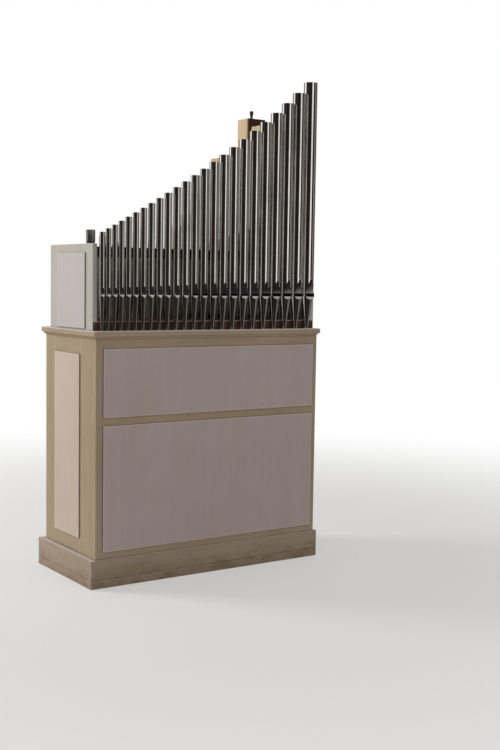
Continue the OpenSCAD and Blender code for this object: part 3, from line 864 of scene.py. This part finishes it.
def add_wooden_front(bm, low, high):
    """The dark front board with its mouth, and the cap over the block below."""
    back = low.y + FRONT_BOARD
    mouth_low = low.z + BLOCK_HEIGHT
    mouth_high = mouth_low + WOOD_CUT_UP
    inset = (high.x - low.x) * BLOCK_CAP_SIDE_SHARE
    face, behind = (low.y + depth for depth in BLOCK_CAP_FACE)
    box(bm, (low.x, low.y, mouth_high), (high.x, back, high.z), WOOD_EDGE)
    box(bm, (low.x, low.y, low.z), (high.x, back, mouth_low), WOOD_EDGE)
    for a, b in ((low.x, low.x + WOOD_MOUTH_SIDE), (high.x - WOOD_MOUTH_SIDE, high.x)):
        box(bm, (a, low.y, mouth_low), (b, back, mouth_high))
    box(bm, (low.x + inset, face, low.z + BLOCK_CAP_LOW),
        (high.x - inset, behind, mouth_low - BLOCK_CAP_MARGIN), CAP_EDGE)


def add_wooden_pipes(mats):
    """Stopped pipes of pine with a dark front board, a stopper and its leather rim."""
    rows = ["wooden_pipes_back_row", "wooden_pipes_front_row"]
    bodies, fronts, leather, stoppers = (bmesh.new() for _ in range(4))
    for node in rows:
        for low, high in solids_of(node):
            add_wooden_body(bodies, leather, stoppers, low, high)
            add_wooden_front(fronts, low, high)
    new_piece("pine_wooden_pipes", bodies, [mats["pine"]], rows, smooth=False)
    new_piece("hardwood_pipe_fronts", fronts, [mats["hardwood"]], smooth=False)
    new_piece("leather_stopper_rims", leather, [mats["leather"]], smooth=False)
    new_piece("pine_stoppers", stoppers, [mats["stopper"]], smooth=False)


def add_turned_parts(mats):
    """The feet of the wooden pipes and the handles of their stoppers."""
    feet, handles = bmesh.new(), bmesh.new()
    for low, high in solids_of("wooden_pipe_feet"):
        profile = [(r, low.z + up) for r, up in FOOT_TIP]
        profile += [(r, low.z + (high.z - low.z) * share) for r, share in FOOT_PROFILE]
        turned(feet, (low.x + high.x) / 2, (low.y + high.y) / 2, profile, WOODEN_FOOT_SIDES)
    for low, high in solids_of("stopper_handles"):
        r, tall = (high.x - low.x) / 2, high.z - low.z
        profile = [(r * wide, low.z + tall * share) for wide, share in HANDLE_PROFILE]
        turned(handles, (low.x + high.x) / 2, (low.y + high.y) / 2, profile, HANDLE_SIDES)
    piece = new_piece("hardwood_pipe_feet", feet, [mats["hardwood"]],
                      ["wooden_pipe_feet"])
    keep_crisp(piece, 40)
    piece = new_piece("hardwood_stopper_handles", handles, [mats["hardwood"]],
                      ["stopper_handles"])
    keep_crisp(piece, 50)


# Stage and light
def floor_material():
    """Matt grey that glows white far off; metal mirrors the world through it there."""
    surface = Surface("floor")
    surface.set(Base_Color=FLOOR_COLOUR, Roughness=0.7)
    distance = surface.add("VectorMath", {0: surface.place}, operation="LENGTH")["Value"]
    path = surface.add("LightPath", {})
    glow = surface.add("Emission", {"Color": WHITE})[0]
    far = surface.span(distance, FADE_START, FADE_END, FADE_LEAST)
    seen = surface.mix_shaders(surface.times(far, path["Is Camera Ray"]),
                               surface.shader.outputs[0], glow)
    away = surface.span(distance, MIRROR_START, MIRROR_END, shape="LINEAR")
    clear = surface.add("BsdfTransparent", {})[0]
    mirrored = surface.mix_shaders(surface.times(away, path["Is Glossy Ray"]), seen, clear)
    surface.put(surface.nodes["Material Output"].inputs["Surface"], mirrored)
    return surface.material


def add_floor():
    """A pale floor that fades into the white backdrop far from the organ."""
    bm = bmesh.new()
    bmesh.ops.create_circle(bm, cap_ends=True, radius=FLOOR_RADIUS, segments=FLOOR_SIDES)
    mesh = bpy.data.meshes.new("floor")
    bm.to_mesh(mesh)
    bm.free()
    floor = bpy.data.objects.new("floor", mesh)
    bpy.context.scene.collection.objects.link(floor)
    floor.location.z = -FLOOR_DROP
    mesh.materials.append(floor_material())


def ring_of_light(tree, turn, stops):
    """Colours of the surroundings by compass direction, given as (share, colour)."""
    ramp = tree.nodes.new("ShaderNodeValToRGB")
    tree.put(ramp.inputs[0], turn)
    ramp.color_ramp.interpolation = "LINEAR"
    elements = ramp.color_ramp.elements
    while len(elements) < len(stops):
        elements.new(0.5)
    for element, (position, colour) in zip(elements, stops):
        element.position = position
        element.color = (*colour, 1)
    return ramp.outputs["Color"]


def add_world():
    """Even soft light; the metal mirrors a studio with dark walls and bright strips."""
    world = bpy.data.worlds.new("studio")
    bpy.context.scene.world = world
    tree = Nodes(world)
    direction = tree.add("SeparateXYZ", {0: tree.add("TexCoord", {})["Generated"]})
    turn = tree.span(tree.math("ARCTAN2", direction["Y"], direction["X"]), -math.pi, math.pi,
                     shape="LINEAR")
    mirrored = ring_of_light(tree, turn, LEVEL_RING)
    low_ring = ring_of_light(tree, turn, LOW_RING)
    for band, colour in ((LOW_RING_BAND, low_ring), (FLOOR_BAND, MIRRORED_FLOOR),
                         (CEILING_BAND, MIRRORED_CEILING)):
        amount = tree.span(direction["Z"], *band, shape="LINEAR")
        mirrored = tree.mix(amount, mirrored, colour)
    soft, studio, white = (tree.add("Background", {"Color": colour})[0]
                           for colour in (SOFT_LIGHT, mirrored, WHITE))
    path = tree.add("LightPath", {})
    by_metal = tree.mix_shaders(path["Is Glossy Ray"], soft, studio)
    by_camera = tree.mix_shaders(path["Is Camera Ray"], by_metal, white)
    tree.put(tree.nodes["World Output"].inputs["Surface"], by_camera)


def add_lamp(name, place, target, width, height, power, tint=WHITE, mirrored=True):
    """A soft rectangular lamp that looks at a point."""
    lamp = bpy.data.objects.new(name, bpy.data.lights.new(name, "AREA"))
    lamp.data.shape = "RECTANGLE"
    lamp.data.size = width
    lamp.data.size_y = height
    lamp.data.energy = power
    lamp.data.color = tint
    lamp.location = place
    lamp.rotation_euler = (Vector(target) - Vector(place)).to_track_quat("-Z", "Y").to_euler()
    lamp.visible_glossy = mirrored
    lamp.visible_camera = False
    bpy.context.scene.collection.objects.link(lamp)


def add_lamps():
    """A window at the left, and a strip in front that draws the streak on the pipes."""
    add_lamp("window", place=(-4.2, 3.8, 3.8), target=(0, 0, 1.2), width=1.9, height=2.6,
             power=236, tint=(1, 0.99, 0.965), mirrored=False)
    add_lamp("strip", place=(0.85, -2.9, 2.41), target=(0.85, 0, 2.41), width=1.15, height=2.28,
             power=7.1)


add_camera()
materials = make_materials()
dress_case(materials)
add_front_pipes(materials)
add_inner_pipes(materials)
add_wooden_pipes(materials)
add_turned_parts(materials)
add_floor()
add_world()
add_lamps()

bpy.context.scene.view_settings.view_transform = "Standard"
